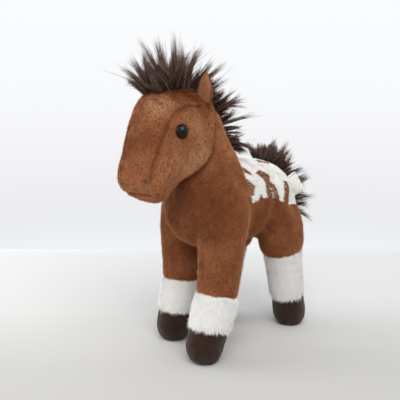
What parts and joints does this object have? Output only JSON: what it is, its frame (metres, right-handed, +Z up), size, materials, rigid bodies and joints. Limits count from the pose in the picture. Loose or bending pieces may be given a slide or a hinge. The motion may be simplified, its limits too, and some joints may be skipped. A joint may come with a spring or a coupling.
{
  "type": "plush horse",
  "caption": "Standing stuffed plush foal with a long dark forelock, mane and tail, a spotted white rump, white socks and dark hooves.",
  "frame": {"origin": "on the floor, under the middle of the toy's bounding box", "axes": "+Z up, the nose points to -Y, the horse's left side is +X"},
  "size_m": [0.1014, 0.2825, 0.2947],
  "materials": {
    "brown_plush": "short pile plush",
    "tan_plush": "short pile plush",
    "white_plush": "short pile plush",
    "hoof_suede": "brushed suede cloth",
    "dark_fur": "long pile fur",
    "polyester_fill": "loose fibre",
    "black_eye": "gloss",
    "washer_plastic": "satin",
    "dark_thread": "stitched thread",
    "label_satin": "satin tape, bare"
  },
  "bodies": {
    "torso": {"body_cover": "brown_plush", "rump_blanket": "white_plush", "body_filling": "polyester_fill", "care_label": "label_satin"},
    "neck": {"neck_cover": "brown_plush", "neck_filling": "polyester_fill", "neck_mane": "dark_fur"},
    "head": {"head_left_panel": "brown_plush", "head_right_panel": "brown_plush", "head_gusset": "brown_plush", "head_filling": "polyester_fill", "left_eye": "black_eye", "right_eye": "black_eye", "left_eye_washer": "washer_plastic", "right_eye_washer": "washer_plastic", "left_nostril_stitch": "dark_thread", "right_nostril_stitch": "dark_thread", "forelock": "dark_fur"},
    "left_ear": {"left_ear": "brown_plush", "left_ear_lining": "tan_plush"},
    "right_ear": {"right_ear": "brown_plush", "right_ear_lining": "tan_plush"},
    "tail": {"tail": "dark_fur"},
    "front_left_leg": {"front_left_leg_cover": "brown_plush", "front_left_sock": "white_plush", "front_left_hoof": "hoof_suede", "front_left_sole": "hoof_suede", "front_left_leg_filling": "polyester_fill"},
    "front_right_leg": {"front_right_leg_cover": "brown_plush", "front_right_sock": "white_plush", "front_right_hoof": "hoof_suede", "front_right_sole": "hoof_suede", "front_right_leg_filling": "polyester_fill"},
    "hind_left_leg": {"hind_left_leg_cover": "brown_plush", "hind_left_sock": "white_plush", "hind_left_hoof": "hoof_suede", "hind_left_sole": "hoof_suede", "hind_left_leg_filling": "polyester_fill"},
    "hind_right_leg": {"hind_right_leg_cover": "brown_plush", "hind_right_sock": "white_plush", "hind_right_hoof": "hoof_suede", "hind_right_sole": "hoof_suede", "hind_right_leg_filling": "polyester_fill"}
  },
  "joints": [
    {"name": "neck_turn", "type": "hinge", "parent": "torso", "child": "neck", "pos_m": [0, -0.059, 0.214], "axis": [0, -0.342, 0.9397], "range_deg": [-15, 15], "stiffness_Nm_per_rad": 1.5},
    {"name": "head_nod", "type": "hinge", "parent": "neck", "child": "head", "pos_m": [0, -0.059, 0.214], "axis": [1, 0, 0], "range_deg": [-10, 10], "stiffness_Nm_per_rad": 1.5},
    {"name": "left_ear_fold", "type": "hinge", "parent": "head", "child": "left_ear", "pos_m": [0.0225, -0.069, 0.24], "axis": [1, 0, 0], "range_deg": [-20, 20], "stiffness_Nm_per_rad": 0.02},
    {"name": "right_ear_fold", "type": "hinge", "parent": "head", "child": "right_ear", "pos_m": [-0.0225, -0.069, 0.24], "axis": [1, 0, 0], "range_deg": [-20, 20], "stiffness_Nm_per_rad": 0.02},
    {"name": "front_left_leg_swing", "type": "hinge", "parent": "torso", "child": "front_left_leg", "pos_m": [0.0295, -0.045, 0.139], "axis": [1, 0, 0], "range_deg": [-11, 11], "stiffness_Nm_per_rad": 2},
    {"name": "front_right_leg_swing", "type": "hinge", "parent": "torso", "child": "front_right_leg", "pos_m": [-0.0295, -0.042, 0.139], "axis": [1, 0, 0], "range_deg": [-11, 11], "stiffness_Nm_per_rad": 2},
    {"name": "hind_left_leg_swing", "type": "hinge", "parent": "torso", "child": "hind_left_leg", "pos_m": [0.0295, 0.035, 0.139], "axis": [1, 0, 0], "range_deg": [-11, 11], "stiffness_Nm_per_rad": 2},
    {"name": "hind_right_leg_swing", "type": "hinge", "parent": "torso", "child": "hind_right_leg", "pos_m": [-0.0295, 0.04, 0.139], "axis": [1, 0, 0], "range_deg": [-11, 11], "stiffness_Nm_per_rad": 2},
    {"name": "tail_lift", "type": "hinge", "parent": "torso", "child": "tail", "pos_m": [0, 0.04331, 0.18282], "axis": [1, 0, 0], "range_deg": [0, 35], "stiffness_Nm_per_rad": 0.1}
  ]
}
